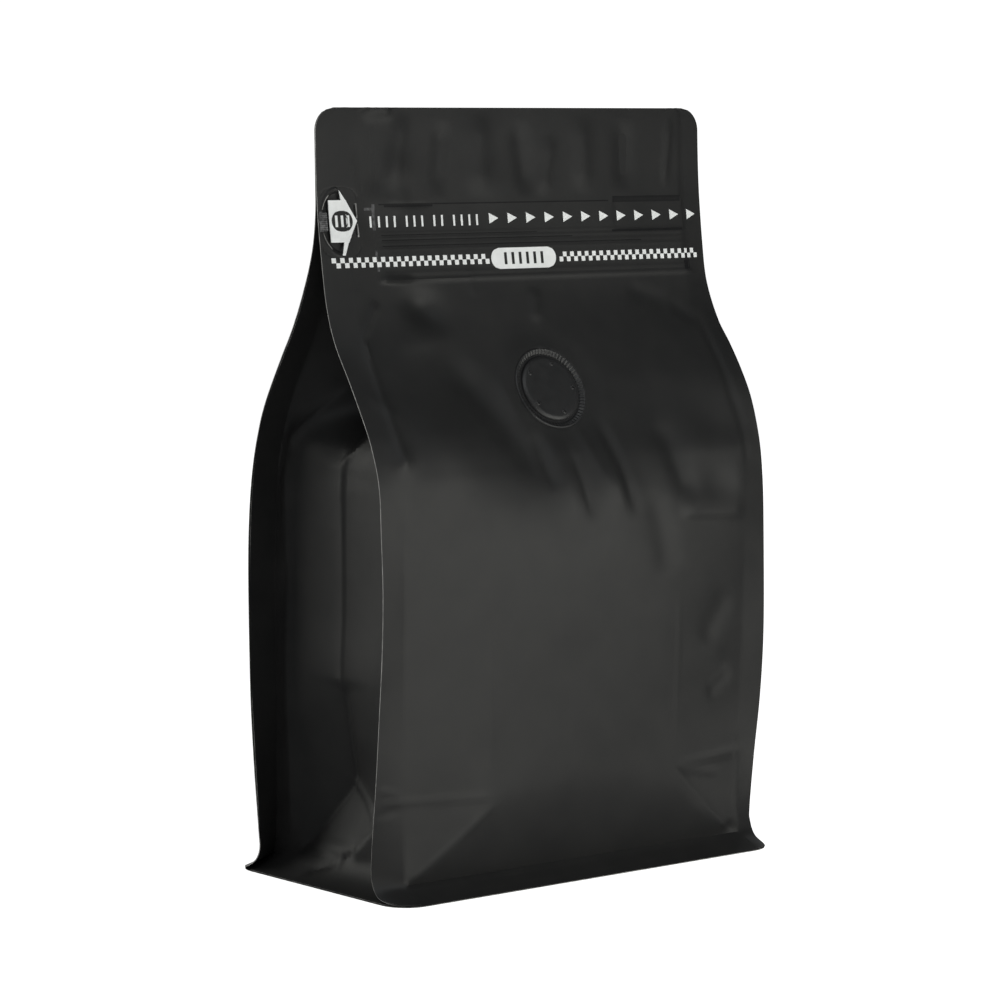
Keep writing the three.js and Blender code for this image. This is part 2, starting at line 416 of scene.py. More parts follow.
    @property
    def lean(self) -> float:
        """Valve's lean in radians."""
        return math.radians(self.valve_lean)

    def valve_plane_y(self, z: float) -> float:
        """y of the valve's plane at a height."""
        return self.valve_y + (z - self.valve_spot[1]) * math.tan(self.lean)

    def back_y(self, x: float, z: float) -> float:
        """y of the back film's outer face before its folds."""
        tip, root = self.back_tip.at(z), self.back_root.at(z)
        return self.tucked(self.panel_y((tip, tip), (root, root), self.back_middle.at(z), x, z), x, z)

    def pleat_at(self, across: float, z: float) -> float:
        """How far a side pleat folds in.

        Args:
            across: -1 at the front seal line, 0 at the centre crease, 1 at the back seal line.
            z: Height.

        Returns:
            Millimetres inwards from the seal lines.
        """
        foot = min(self.triangle_foot - self.triangle_skew * across, self.triangle_top)
        rise = max((z - foot) / (self.pleat_foot - foot), 0.0)
        free = smooth_step(z, self.hem_height, self.pleat_free)
        return self.pleat_depth.at(z) * min(1.0 - abs(across), rise) * free


# ---- Meshes and objects -------------------------------------------------------------------------------
def film_grid(
    columns: int, rows: int, place: Callable[[float, float], Vector], inside_out: bool,
) -> bmesh.types.BMesh:
    """Makes a sheet from a grid and a place for each of its points.

    Args:
        columns: Faces across.
        rows: Faces up.
        place: Gives a point from two shares, across and up.
        inside_out: Whether the faces have to be turned to point outwards.

    Returns:
        The sheet, one face thick.
    """
    mesh = bmesh.new()
    bmesh.ops.create_grid(mesh, x_segments=columns, y_segments=rows, size=0.5)
    for vert in mesh.verts:
        vert.co = place(min(max(vert.co.x + 0.5, 0.0), 1.0), min(max(vert.co.y + 0.5, 0.0), 1.0))
    if inside_out:
        bmesh.ops.reverse_faces(mesh, faces=mesh.faces[:])
    mesh.normal_update()
    return mesh


def thicken(mesh: bmesh.types.BMesh, thickness: float, rim_material: int = 0) -> None:
    """Gives a sheet its thickness behind its faces, and its cut edges their own material.

    Args:
        mesh: The sheet.
        thickness: In millimetres.
        rim_material: Material slot of the new edge faces.
    """
    outer = set(mesh.faces)
    grown = bmesh.ops.extrude_face_region(mesh, geom=mesh.faces[:], use_keep_orig=True)["geom"]
    inner = {item for item in grown if isinstance(item, bmesh.types.BMFace)}
    mesh.normal_update()
    moved = [(item, item.normal.copy()) for item in grown if isinstance(item, bmesh.types.BMVert)]
    for vert, outwards in moved:
        vert.co -= outwards * thickness
    for face in mesh.faces:
        if face not in outer and face not in inner:
            face.material_index = rim_material
    bmesh.ops.recalc_face_normals(mesh, faces=mesh.faces[:])


def make_piece(
    name: str, mesh: bmesh.types.BMesh, materials: list[bpy.types.Material], node: str,
    sharp: float = 35.0,
) -> None:
    """Turns a mesh in millimetres into a piece of the bag.

    Args:
        name: The piece's name.
        mesh: Its mesh, which is freed.
        materials: Its material slots in order.
        node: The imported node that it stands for.
        sharp: Angle in degrees from which an edge is shaded sharp.
    """
    bmesh.ops.scale(mesh, vec=Vector((MM, MM, MM)), verts=mesh.verts[:])
    data = bpy.data.meshes.new(name)
    mesh.to_mesh(data)
    mesh.free()
    for material in materials:
        data.materials.append(material)
    data.shade_smooth()
    data.set_sharp_from_angle(angle=math.radians(sharp))
    piece = bpy.data.objects.new(name, data)
    bpy.context.scene.collection.objects.link(piece)
    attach(piece, "root")
    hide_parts(node)
    log.info("%s: %d faces", name, len(data.polygons))


# ---- Finishes -----------------------------------------------------------------------------------------
class NodeBoard:
    """A material's node tree with short ways to add and join nodes."""

    noise_span: Spot = (0.3, 0.7)  # the noise's darkest and brightest common values

    def __init__(self, name: str) -> None:
        """Starts a material with one principled shader."""
        self.material = bpy.data.materials.new(name)
        self.material.use_nodes = True
        self.tree = self.material.node_tree
        self.shader = self.tree.nodes["Principled BSDF"]

    def add(self, kind: str, **values: object) -> bpy.types.Node:
        """Adds a node and sets its inputs by name, or its properties where it has no such input."""
        node = self.tree.nodes.new(kind)
        for key, value in values.items():
            socket = node.inputs.get(key.replace("_", " "))
            if socket is not None:
                socket.default_value = value
            else:
                setattr(node, key, value)
        return node

    def join(self, source: bpy.types.NodeSocket, target: bpy.types.NodeSocket) -> None:
        """Links two sockets."""
        self.tree.links.new(source, target)

    def noise(self, per_mm: float, detail: float = 3.0) -> bpy.types.NodeSocket:
        """Noise fixed to the piece.

        Args:
            per_mm: How many of its lumps lie in a millimetre.
            detail: Layers of finer noise.

        Returns:
            The noise node's factor socket.
        """
        spot = self.add("ShaderNodeTexCoord")
        noise = self.add("ShaderNodeTexNoise", Scale=per_mm / MM, Detail=detail)
        self.join(spot.outputs["Object"], noise.inputs["Vector"])
        return noise.outputs["Fac"]

    def spread(self, source: bpy.types.NodeSocket, low: float, high: float) -> bpy.types.NodeSocket:
        """Maps noise to a range of values."""
        node = self.add("ShaderNodeMapRange")
        span = (*self.noise_span, low, high)
        for key, value in zip(("From Min", "From Max", "To Min", "To Max"), span):
            node.inputs[key].default_value = value
        self.join(source, node.inputs["Value"])
        return node.outputs["Result"]

    def ramp(self, source: bpy.types.NodeSocket, low: Colour, high: Colour) -> bpy.types.NodeSocket:
        """Maps noise to a range of colours."""
        node = self.add("ShaderNodeValToRGB")
        for element, position, colour in zip(node.color_ramp.elements, self.noise_span, (low, high)):
            element.position = position
            element.color = (*colour, 1.0)
        self.join(source, node.inputs["Fac"])
        return node.outputs["Color"]

    def bump(self, source: bpy.types.NodeSocket, depth: float) -> bpy.types.NodeSocket:
        """Adds relief that only the light sees, from a height of 0 to 1 and its depth in millimetres."""
        node = self.add("ShaderNodeBump", Strength=1.0, Distance=depth * MM)
        self.join(source, node.inputs["Height"])
        return node.outputs["Normal"]


@dataclass(frozen=True)
class Finish:
    """One finish: its tones, how rough it is and how fine its grain."""

    name: str
    low: Colour
    high: Colour
    tone_noise: float  # lumps of tone in a millimetre
    rough: Spot  # from and to; even where both are the same
    rough_noise: float = 1.0
    grain_noise: float = 0.0  # 0 for a face without grain
    grain: float = 0.004  # depth of the grain
    specular: float = 0.5
    glow: float = 0.0

    def material(self) -> bpy.types.Material:
        """Builds the node material."""
        board = NodeBoard(self.name)
        inputs = board.shader.inputs
        board.join(board.ramp(board.noise(self.tone_noise), self.low, self.high), inputs["Base Color"])
        if self.rough[0] == self.rough[1]:
            inputs["Roughness"].default_value = self.rough[0]
        else:
            board.join(board.spread(board.noise(self.rough_noise), *self.rough), inputs["Roughness"])
        if self.grain_noise > 0.0:
            board.join(board.bump(board.noise(self.grain_noise, 2.0), self.grain), inputs["Normal"])
        inputs["Specular IOR Level"].default_value = self.specular
        if self.glow > 0.0:
            inputs["Emission Color"].default_value = (1.0, 1.0, 1.0, 1.0)
            inputs["Emission Strength"].default_value = self.glow
        return board.material


# Matt black laminated film: nearly black, with a broad soft sheen and a very fine grain.
FILM_FINISH = Finish(
    "matt_black_film", (0.0075, 0.0075, 0.0075), (0.0105, 0.0103, 0.0100), 0.12, (0.52, 0.54), 0.3, 2.4)
# The film's cut edge, where the pale inner layers show.
EDGE_FINISH = Finish("pale_cut_edge", (0.16, 0.16, 0.155), (0.34, 0.335, 0.32), 0.5, (0.5, 0.5))
# Film pressed dull by the sealing bars, so it shines less; its colour is darker than the film, as painted
# shade in the pressed grooves.
DULL_SHADED_FINISH = Finish(
    "dull_film_painted_shade", (0.004, 0.004, 0.0045), (0.006, 0.006, 0.0065), 0.4, (0.6, 0.6), specular=0.31)
# Pale film painted in broken spots as highlight along hard creases, where light catches them; the pull
# tab's grip is given this pale finish too.
PALE_HIGHLIGHT_FINISH = Finish("painted_highlight_film", (0.012, 0.012, 0.012), (0.105, 0.105, 0.108), 1.1, (0.42, 0.42))
# White ink on matt film.
PRINT_FINISH = Finish("white_print", (0.70, 0.71, 0.70), (0.76, 0.77, 0.76), 0.6, (0.42, 0.52), 0.9)
# Black film pressed tight over the moulded valve, a little glossier than the rest.
VALVE_FINISH = Finish(
    "pressed_valve_film", (0.0135, 0.0135, 0.0138), (0.0175, 0.0175, 0.0178), 0.3, (0.36, 0.44), 0.8, 3.0)
# Plain pale studio floor.
FLOOR_FINISH = Finish("pale_floor", (0.80, 0.80, 0.80), (0.82, 0.82, 0.82), 0.02, (0.9, 0.9), glow=1.0)


@dataclass
class Finishes:
    """All materials, made once."""

    film: bpy.types.Material = field(default_factory=FILM_FINISH.material)
    edge: bpy.types.Material = field(default_factory=EDGE_FINISH.material)
    # duller pressed lines, coloured darker as painted groove shade
    dull_shaded: bpy.types.Material = field(default_factory=DULL_SHADED_FINISH.material)
    # pale finish painted as highlight along creases; the tab's grip uses it too
    pale_highlight: bpy.types.Material = field(default_factory=PALE_HIGHLIGHT_FINISH.material)
    print: bpy.types.Material = field(default_factory=PRINT_FINISH.material)
    valve: bpy.types.Material = field(default_factory=VALVE_FINISH.material)
    floor: bpy.types.Material = field(default_factory=FLOOR_FINISH.material)


# ---- Films --------------------------------------------------------------------------------------------
def header_relief() -> Iterator[Feature]:
    """Seams, zipper ribs, tear line and wrinkles of the front film's header, as places x, z on the film.

    Yields:
        Each feature.
    """
    left, right, foot = -47.6, 58.4, 155.2
    yield Panel((left, foot), (right, 215.0), 0.20, 0.7)
    yield Panel((33.0, 166.9), (right - 0.4, 175.3), -0.14, 0.5)
    yield Fold((left, 162.4), (right, 162.2), 0.22, 3.6, fade=0.03)
    yield Fold((left - 1.0, 155.5), (right + 2.0, 155.4), 0.24, 0.45, fade=0.02)
    yield Fold((left - 1.0, 156.0), (left + 12.0, 155.5), 0.50, 0.9, fade=0.35)
    yield Fold((left, 157.3), (right, 157.2), 0.09, 0.35, fade=0.02)
    for z, height in ((163.4, 0.045), (164.9, 0.03), (166.3, 0.045), (167.5, 0.03)):
        yield Fold((left, z), (right, z - 0.1), height, 0.36, fade=0.02)
    yield Fold((-44.5, 174.6), (-28.0, 174.5), -0.12, 0.65, fade=0.2)
    wrinkles = (
        ((-36.8, 199.0), (-42.5, 177.0), 0.55, 2.6), ((-24.6, 197.0), (-26.3, 176.0), -0.50, 2.7),
        ((-12.0, 199.0), (-12.8, 175.5), 0.50, 3.6), ((0.6, 197.0), (4.2, 175.5), -0.55, 3.0),
        ((12.3, 193.0), (8.5, 175.5), 0.40, 2.3), ((23.3, 198.0), (22.7, 176.0), 0.50, 3.0),
        ((37.7, 197.0), (37.2, 176.5), -0.50, 3.0), ((54.7, 198.0), (51.9, 177.0), 0.40, 1.2),
        ((-54.0, 190.0), (-52.5, 160.0), 0.20, 1.6), ((-19.0, 160.0), (-18.0, 150.0), 0.16, 1.4),
    )
    for start, end, height, width in wrinkles:
        yield Fold(start, end, height, width)
    yield Fold((-51.0, 198.9), (-40.0, 199.3), 0.90, 2.2)
    yield Fold((-53.0, 176.5), (-34.0, 176.0), 0.45, 4.2)
    yield Dent((-39.0, 183.5), (5.5, 4.5), 0.50, -20.0)
    yield Dent((-8.0, 180.0), (9.0, 5.0), 0.25)


# Folds of the front film between the header and the filled body.
SHOULDER_RELIEF: Relief = (
    Dent((-35.0, 148.2), (6.0, 4.2), -2.0, -15.0), Dent((-38.0, 140.5), (8.0, 3.4), 0.7, 10.0),
    Fold((-33.0, 139.0), (-8.5, 101.0), -1.3, 4.8), Dent((-42.0, 114.0), (13.0, 13.0), 2.3),
    Fold((-49.8, 150.5), (-56.8, 141.0), 0.70, 0.8, TENT, 0.2),
    Fold((-56.4, 143.0), (-56.8, 108.0), 0.60, 0.8, TENT, 0.1), Dent((-57.0, 111.5), (3.8, 4.2), 1.3),
    Fold((3.0, 153.0), (0.8, 143.0), 0.45, 2.0), Fold((33.0, 151.8), (51.0, 146.1), -0.40, 2.6),
    Fold((48.0, 147.6), (58.5, 141.0), -0.40, 2.2), Fold((57.6, 149.0), (59.2, 112.0), -0.45, 1.4),
    Fold((60.5, 124.0), (58.6, 103.0), -0.25, 1.1), Fold((-10.4, 117.0), (-8.7, 101.0), -0.70, 2.0),
    Fold((-1.6, 114.0), (2.8, 92.0), -0.45, 1.5), Fold((3.6, 119.0), (8.0, 99.0), 0.35, 2.0),
    Dent((10.5, 102.5), (5.0, 6.5), 1.45, 8.0), Fold((11.5, 120.0), (17.0, 92.0), -0.80, 2.1),
    Dent((-4.0, 101.5), (4.0, 6.5), 0.8, 8.0), Fold((23.0, 101.0), (28.5, 75.0), -0.60, 4.2),
    Dent((-15.5, 124.0), (2.2, 6.5), 0.30, 15.0), Fold((31.0, 118.0), (37.0, 94.0), -0.85, 3.6),
    Dent((42.0, 112.5), (5.2, 5.8), 0.50), Dent((26.0, 106.0), (6.0, 6.5), 0.35),
    Dent((54.6, 102.0), (2.8, 5.0), 0.25), Dent((47.0, 100.0), (5.5, 5.5), -0.45),
    Fold((31.5, 92.0), (58.0, 90.2), 0.60, 1.3, STEP, 0.2),
    Fold((-62.0, 128.0), (-52.0, 121.0), 0.20, 1.6),
)


# Dents, creases and the marks of the bottom film on the front film's body.
BELLY_RELIEF: Relief = (
    Fold((-31.6, 80.0), (-31.6, 22.0), 0.18, 0.5), Fold((31.6, 76.0), (31.6, 24.0), 0.18, 0.5),
    Fold((-64.8, 25.7), (-31.0, 24.6), 0.16, 0.8, fade=0.12),
    Fold((-64.9, 29.0), (-57.5, 27.2), 0.20, 0.7), Fold((-64.9, 22.4), (-57.5, 23.6), -0.22, 0.7),
    Fold((29.5, 25.4), (61.5, 26.4), -0.50, 1.2, fade=0.2),
    Fold((31.0, 24.8), (51.0, 21.2), -0.38, 0.9, fade=0.25),
    Fold((-57.5, 3.6), (-30.0, 23.0), 0.14, 0.8, fade=0.12),
    Fold((54.5, 3.8), (31.0, 24.5), 0.26, 0.7, fade=0.12),
    Fold((57.6, 34.0), (56.2, 6.0), 0.30, 0.7, TENT), Dent((53.6, 6.2), (1.9, 1.6), -0.65),
    Fold((40.0, 57.0), (52.5, 72.0), -0.65, 3.6), Fold((42.5, 43.0), (53.5, 50.0), -0.65, 2.4),
    Dent((45.5, 54.0), (6.0, 3.5), 0.45),
)


@dataclass
class FrontFilm:
    """The front film, from the hem's edge to the top edge, with its two side seals."""

    form: PouchForm
    columns: int = 150
    rows: int = 300
    row_plan: Profile = Profile((
        (0.0, 0.0), (0.06, 8.0), (0.55, 158.0), (0.86, 189.0), (1.0, 212.0)))  # share of rows, film length
    valve_sink: float = 1.3  # the film passes this deep behind the valve's face
    valve_reach: Spot = (9.6, 10.9)
    tab_sink: float = 1.0  # and this deep behind the pull tab's well
    tab_spot: Spot = (-58.55, 170.5)
    tab_half: Spot = (6.25, 9.4)
    tab_reach: Spot = (0.80, 0.93)
    relief: Relief = (
        *header_relief(), *SHOULDER_RELIEF, *BELLY_RELIEF,
        Ripple(75.0, 57.0, 0.10), Ripple(20.0, 41.0, 0.07, 1.0), Ripple(130.0, 31.0, 0.04, 2.0),
    )

    def face_y(self, x: float, z: float) -> float:
        """y of the film's outer face with its folds."""
        return self.form.front_y(x, z) - relief_at(self.relief, x, z)

    def sunk_y(self, x: float, z: float) -> float:
        """y of the film's outer face where it passes behind the valve and the pull tab."""
        spot_x, spot_z = self.form.valve_spot
        distance = math.hypot(x - spot_x, (z - spot_z) / math.cos(self.form.lean))
        sink = self.valve_sink * (1.0 - smooth_step(distance, *self.valve_reach))
        across = abs(x - self.tab_spot[0]) / self.tab_half[0]
        up = abs(z - self.tab_spot[1]) / self.tab_half[1]
        if across < 1.0 and up < 1.0:
            sink += self.tab_sink * (1.0 - smooth_step((across**4 + up**4) ** 0.25, *self.tab_reach))
        return self.face_y(x, z) + sink

    def place(self, across: float, up: float) -> Vector:
        """A grid point's place on the film."""
        x, z = self.form.film_spot(across, self.row_plan.at(up))
        return Vector((x, self.sunk_y(x, z), z))

    def build(self, finishes: Finishes) -> None:
        """Makes the film."""
        mesh = film_grid(self.columns, self.rows, self.place, False)
        thicken(mesh, FILM, 1)
        make_piece("front_film", mesh, [finishes.film, finishes.edge], "pouch")


@dataclass
class BackFilm:
    """The back film, like the front one but without print or valve."""

    form: PouchForm
    columns: int = 110
    rows: int = 180
    relief: Relief = (
        Panel((-57.0, 155.2), (57.0, 215.0), 0.16, 0.8),
        Fold((-58.0, 155.4), (58.0, 155.4), 0.20, 0.8, fade=0.02),
        Fold((-57.0, 162.4), (57.0, 162.4), 0.20, 3.6, fade=0.03),
        Fold((-57.0, 174.8), (57.0, 174.8), -0.13, 0.7, fade=0.02),
        Fold((-44.0, 152.0), (-20.0, 116.0), -0.65, 2.6), Fold((46.0, 151.0), (24.0, 118.0), -0.55, 2.8),
        Fold((6.0, 150.0), (10.0, 112.0), 0.40, 2.4), Fold((-30.0, 88.0), (-50.0, 62.0), 0.30, 2.4),
        Dent((34.0, 96.0), (11.0, 8.0), -0.9, 20.0), Dent((-33.0, 104.0), (7.0, 10.0), -0.7, -25.0),
        Fold((-31.6, 74.0), (-31.6, 22.0), 0.14, 0.6), Fold((31.6, 66.0), (31.6, 22.0), 0.14, 0.6),
        Fold((-62.0, 26.0), (-31.0, 25.0), 0.20, 0.9), Fold((31.0, 25.0), (62.0, 27.0), 0.20, 0.9),
        Ripple(70.0, 55.0, 0.10, 0.6), Ripple(-25.0, 40.0, 0.07), Ripple(140.0, 33.0, 0.04, 1.0),
    )

    def place(self, across: float, up: float) -> Vector:
        """A grid point's place on the film."""
        x, z = self.form.film_spot(across, up * self.form.film_length)
        return Vector((x, self.form.back_y(x, z) + relief_at(self.relief, x, z), z))

    def build(self, finishes: Finishes) -> None:
        """Makes the film."""
        mesh = film_grid(self.columns, self.rows, self.place, True)
        thicken(mesh, FILM, 1)
        make_piece("back_film", mesh, [finishes.film, finishes.edge], "pouch")


# Folds of the pleated side film, as places y, z on it.
GUSSET_RELIEF: Relief = (
    Fold((21.7, 111.5), (21.4, 8.0), 0.95, 3.0, TENT, 0.08),
    Fold((21.7, 111.0), (6.0, 129.0), 1.20, 1.7, TENT, 0.2),
    Fold((1.2, 108.4), (-11.5, 118.4), 1.20, 1.3, TENT, 0.2), Dent((10.5, 115.0), (10.5, 7.0), 1.3),
    Dent((-9.0, 114.0), (7.5, 7.0), 1.1), Fold((0.6, 111.0), (0.4, 50.5), 0.95, 4.5, TENT, 0.05),
    Dent((21.6, 78.0), (2.6, 4.0), -0.6), Dent((0.6, 51.5), (1.7, 1.8), 0.40),
    Fold((0.2, 52.0), (0.0, 25.5), -0.50, 1.2, TENT, 0.1),
    Fold((0.0, 26.4), (17.5, 6.8), -0.70, 1.2, TENT, 0.06),
    Fold((0.0, 26.4), (-13.0, 18.2), 0.65, 1.0, TENT, 0.06), Dent((3.0, 9.0), (9.5, 2.0), 1.25),
    Fold((-8.0, 10.0), (-1.0, 5.8), -0.90, 1.0, TENT), Fold((-2.0, 6.4), (9.5, 2.0), -0.90, 1.0, TENT),
    Ripple(80.0, 47.0, 0.12, 1.0), Ripple(25.0, 29.0, 0.07),
)


@dataclass
class SideGusset:
    """One pleated side film, sealed between the front and back fins."""

    form: PouchForm
    side: int  # -1 left, 1 right
    front_face: Callable[[float, float], float]
    columns: int = 110
    rows: int = 200
    tuck: float = 7.6  # how far it reaches into each side seal
    edge_inset: float = 0.4  # its edge lies this far inside the front and back films' edges
    fin_gap: float = 0.05
    flare_run: float = 7.0  # the hem's flare grows over this distance from each seal line
    flare_top: float = 9.0
    flare_power: float = 2.2
    least_width: float = 0.2  # of the film between its seals
    relief_run: float = 4.0  # its folds begin over this distance from each seal line
    relief: Relief = GUSSET_RELIEF

    def hem_flare(self, z: float, inset: float) -> float:
        """How far the film stands out at the hem.

        Args:
            z: Height.
            inset: Distance from the nearer seal line.

        Returns:
            Millimetres outwards.
        """
        share = max(1.0 - z / self.flare_top, 0.0)
        return self.form.seal * share**self.flare_power * smooth_step(inset, 0.0, self.flare_run)

    def place(self, across: float, up: float) -> Vector:
        """A grid point's place, from the front fin's tip round the pleat to the back fin's tip."""
        length = self.edge_inset + up * (self.form.film_length - 2.0 * self.edge_inset)
        z = self.form.height_at(length)
        root = self.form.root_x
        reach = min(self.tuck, self.form.half_width_at(length) - self.edge_inset - root)
        front = self.front_face(self.side * root, z) + FILM + self.fin_gap
        back = self.form.back_y(self.side * root, z) - FILM - self.fin_gap
        width = max(back - front, self.least_width)
        run = across * (2 * self.tuck + width)
        if run < self.tuck:
            x = root + reach * (1.0 - run / self.tuck)
            y = self.front_face(self.side * x, z) + FILM + self.fin_gap
        elif run > self.tuck + width:
            x = root + reach * (run - self.tuck - width) / self.tuck
            y = self.form.back_y(self.side * x, z) - FILM - self.fin_gap
        else:
            inset = min(run - self.tuck, self.tuck + width - run)
            middle = 2.0 * (run - self.tuck) / width - 1.0
            y = front + (run - self.tuck)
            x = root - self.form.pleat_at(middle, z) + self.hem_flare(z, inset)
            x += relief_at(self.relief, y, z) * smooth_step(inset, 0.0, self.relief_run)
        return Vector((self.side * x, y, z))

    def build(self, finishes: Finishes) -> None:
        """Makes the film."""
        mesh = film_grid(self.columns, self.rows, self.place, self.side < 0)
        thicken(mesh, INNER_FILM, 1)
        name = "side_gusset_left" if self.side < 0 else "side_gusset_right"
        make_piece(name, mesh, [finishes.film, finishes.edge], "pouch")


@dataclass
class BasePanel:
    """The bottom film: drawn up inside, with a hem that slopes down to the ground all round."""

    form: PouchForm
    half: Spot = (64.6, 36.0)
    corner: float = 8.0
    segments: tuple[int, int] = (90, 54)
    inner_lift: float = 1.2  # its middle hangs this far above the ground, less the clearance
    settle: float = 9.0  # and reaches there over this distance from the hem's seal line
    clearance: float = 0.35  # it lies this far under the other films' hems

    def inset(self, x: float, y: float) -> float:
        """Distance of a place from the film's round-cornered outline, negative outside it."""
        inset_x, inset_y = self.half[0] - abs(x), self.half[1] - abs(y)
        if inset_x < self.corner and inset_y < self.corner:
            return self.corner - math.hypot(self.corner - inset_x, self.corner - inset_y)
        return min(inset_x, inset_y)

    def place(self, across: float, deep: float) -> Vector:
        """A grid point's place, drawn in to the outline at the corners."""
        x, y = (2.0 * across - 1.0) * self.half[0], (2.0 * deep - 1.0) * self.half[1]
        inset = self.inset(x, y)
        if inset < 0.0:
            middle = Vector((
                math.copysign(self.half[0] - self.corner, x), math.copysign(self.half[1] - self.corner, y)))
            spot = middle + (Vector((x, y)) - middle) * self.corner / (self.corner - inset)
            x, y, inset = spot.x, spot.y, 0.0
        hem = self.form.hem_height * min(inset / self.form.seal, 1.0) ** self.form.hem_curve
        settled = smooth_step(inset, self.form.seal, self.form.seal + self.settle)
        z = hem + (self.inner_lift - self.form.hem_height) * settled - self.clearance
        return Vector((x, y, max(z, 0.0)))

    def build(self, finishes: Finishes) -> None:
        """Makes the film."""
        mesh = film_grid(*self.segments, self.place, True)
        thicken(mesh, INNER_FILM, 1)
        make_piece("base_film", mesh, [finishes.film, finishes.edge], "pouch")


# ---- Flat shapes laid on the film ---------------------------------------------------------------------
def add_block(
    mesh: bmesh.types.BMesh, centre: Spot, size: Spot, segments: tuple[int, int] = (2, 2),
) -> list[bmesh.types.BMVert]:
    """Adds a flat rectangle, drawn with x and z in the plane.

    Args:
        mesh: Takes the rectangle.
        centre: Its middle.
        size: Its width and height.
        segments: Faces across and up.

    Returns:
        Its points.
    """
    place = Matrix.Translation((*centre, 0)) @ Matrix.Diagonal((*size, 1, 1))
    across, up = segments
    return bmesh.ops.create_grid(mesh, x_segments=across, y_segments=up, size=0.5, matrix=place)["verts"]


def add_pill(mesh: bmesh.types.BMesh, centre: Spot, size: Spot, segments: tuple[int, int]) -> None:
    """Adds a flat shape with straight long sides and round ends.

    Args:
        mesh: Takes the shape.
        centre: Its middle.
        size: Its width and height.
        segments: Faces across and up.
    """
    radius = size[1] / 2
    straight = size[0] / 2 - radius
    for vert in add_block(mesh, centre, size, segments):
        rise = min(abs(vert.co.y - centre[1]) / radius, 1.0)
        half = straight + radius * math.sqrt(1.0 - rise * rise)
        vert.co.x = centre[0] + (vert.co.x - centre[0]) * half / (size[0] / 2)


def drape(mesh: bmesh.types.BMesh, face_y: Callable[[float, float], float], thickness: float) -> None:
    """Lays flat shapes on a surface and gives them thickness.

    Args:
        mesh: The shapes, drawn with x and z in the plane.
        face_y: y of their outer faces at x and z.
        thickness: How thick they are, backwards from there.
    """
    bmesh.ops.remove_doubles(mesh, verts=mesh.verts[:], dist=WELD)
    for vert in mesh.verts:
        x, z = vert.co.x, vert.co.y
        vert.co = Vector((x, face_y(x, z), z))
    mesh.normal_update()
    thicken(mesh, thickness)


# ---- Header print -------------------------------------------------------------------------------------
@dataclass
class HeaderPrint:
    """White shapes printed across the header: a checked strip, a plain label in it and arrow heads."""

    film: FrontFilm
    square: float = 1.27
    strip_z: float = 160.3
    strip_spans: tuple[Spot, Spot] = ((-62.2, -11.1), (12.0, 62.9))
    label_span: Spot = (-10.7, 11.5)
    label_height: float = 5.45
    label_bars: int = 6
    label_bar: Spot = (0.9, 3.1)
    label_pitch: float = 2.5
    arrow_z: float = 170.75
    arrow_first: float = -10.0
    arrow_pitch: float = 6.33
    arrow_count: int = 12
    arrow_size: Spot = (3.1, 2.75)
    arrow_taper: float = 0.985  # share of its height lost at the tip
    mark_z: float = 170.45
    mark_size: Spot = (0.6, 2.8)
    mark_pitch: float = 2.55
    mark_groups: tuple[int, ...] = (4, 3, 2, 4)
    group_gap: float = 0.55  # extra share of the pitch between groups
    mark_first: float = -48.9
    lift: float = 0.06
    label_lift: float = 0.10  # the label's bars lie on its white
    ink: float = 0.05

    def checks(self, mesh: bmesh.types.BMesh) -> None:
        """Adds the two rows of small squares."""
        start = self.strip_spans[0][0]
        for low, high in self.strip_spans:
            first, end = math.ceil((low - start) / self.square), math.floor((high - start) / self.square)
            for i in range(first, end):
                row = 0.5 if i % 2 == 0 else -0.5
                centre = (start + (i + 0.5) * self.square, self.strip_z + row * self.square)
                add_block(mesh, centre, (self.square, self.square))

    def arrows(self, mesh: bmesh.types.BMesh) -> None:
        """Adds the row of arrow heads."""
        for i in range(self.arrow_count):
            x = self.arrow_first + i * self.arrow_pitch + self.arrow_size[0] / 2
            for vert in add_block(mesh, (x, self.arrow_z), self.arrow_size, (3, 2)):
                along = (vert.co.x - x) / self.arrow_size[0] + 0.5
                vert.co.y = self.arrow_z + (vert.co.y - self.arrow_z) * (1.0 - self.arrow_taper * along)

    def marks(self, mesh: bmesh.types.BMesh) -> None:
        """Adds the groups of plain upright bars."""
        x = self.mark_first
        for group in self.mark_groups:
            for _ in range(group):
                add_block(mesh, (x, self.mark_z), self.mark_size)
                x += self.mark_pitch
            x += self.mark_pitch * self.group_gap

    def build(self, finishes: Finishes) -> None:
        """Makes the white print and the dark bars on its label."""
        low, high = self.label_span
        middle = (low + high) / 2
        white = bmesh.new()
        self.checks(white)
        self.arrows(white)
        self.marks(white)
        add_pill(white, (middle, self.strip_z), (high - low, self.label_height), (26, 12))
        drape(white, lambda x, z: self.film.face_y(x, z) - self.lift, self.ink)
        dark = bmesh.new()
        for i in range(self.label_bars):
            x = middle + (i - (self.label_bars - 1) / 2) * self.label_pitch
            add_block(dark, (x, self.strip_z), self.label_bar, (2, 3))
        drape(dark, lambda x, z: self.film.face_y(x, z) - self.label_lift, self.ink)
        make_piece("header_print", white, [finishes.print], "pouch")
        make_piece("label_bars", dark, [finishes.film], "pouch")


